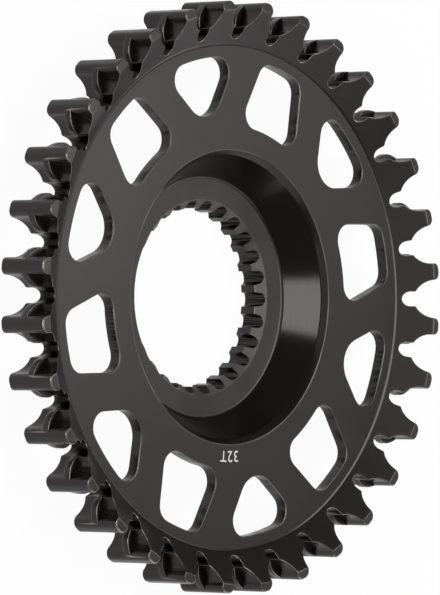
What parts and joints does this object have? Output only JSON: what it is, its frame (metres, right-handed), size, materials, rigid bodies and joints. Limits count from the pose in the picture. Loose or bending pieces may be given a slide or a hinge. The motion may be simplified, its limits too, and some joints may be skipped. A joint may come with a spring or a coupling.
{
  "type": "belt drive sprocket",
  "caption": "Black anodised belt drive sprocket for a bicycle: flared teeth with a centre fin, windowed disc, dished hub and splined bore.",
  "frame": {"origin": "centre of the hub's rear face, on which the sprocket lies", "axes": "+Z along the axis, towards the front face; +X through the middle of a broad window and of a tooth space"},
  "size_m": [0.11, 0.11, 0.0174],
  "materials": {
    "black_anodised": "satin black anodised, with thin brighter edges"
  },
  "bodies": {
    "root": {"belt_sprocket": "black_anodised"}
  },
  "joints": []
}
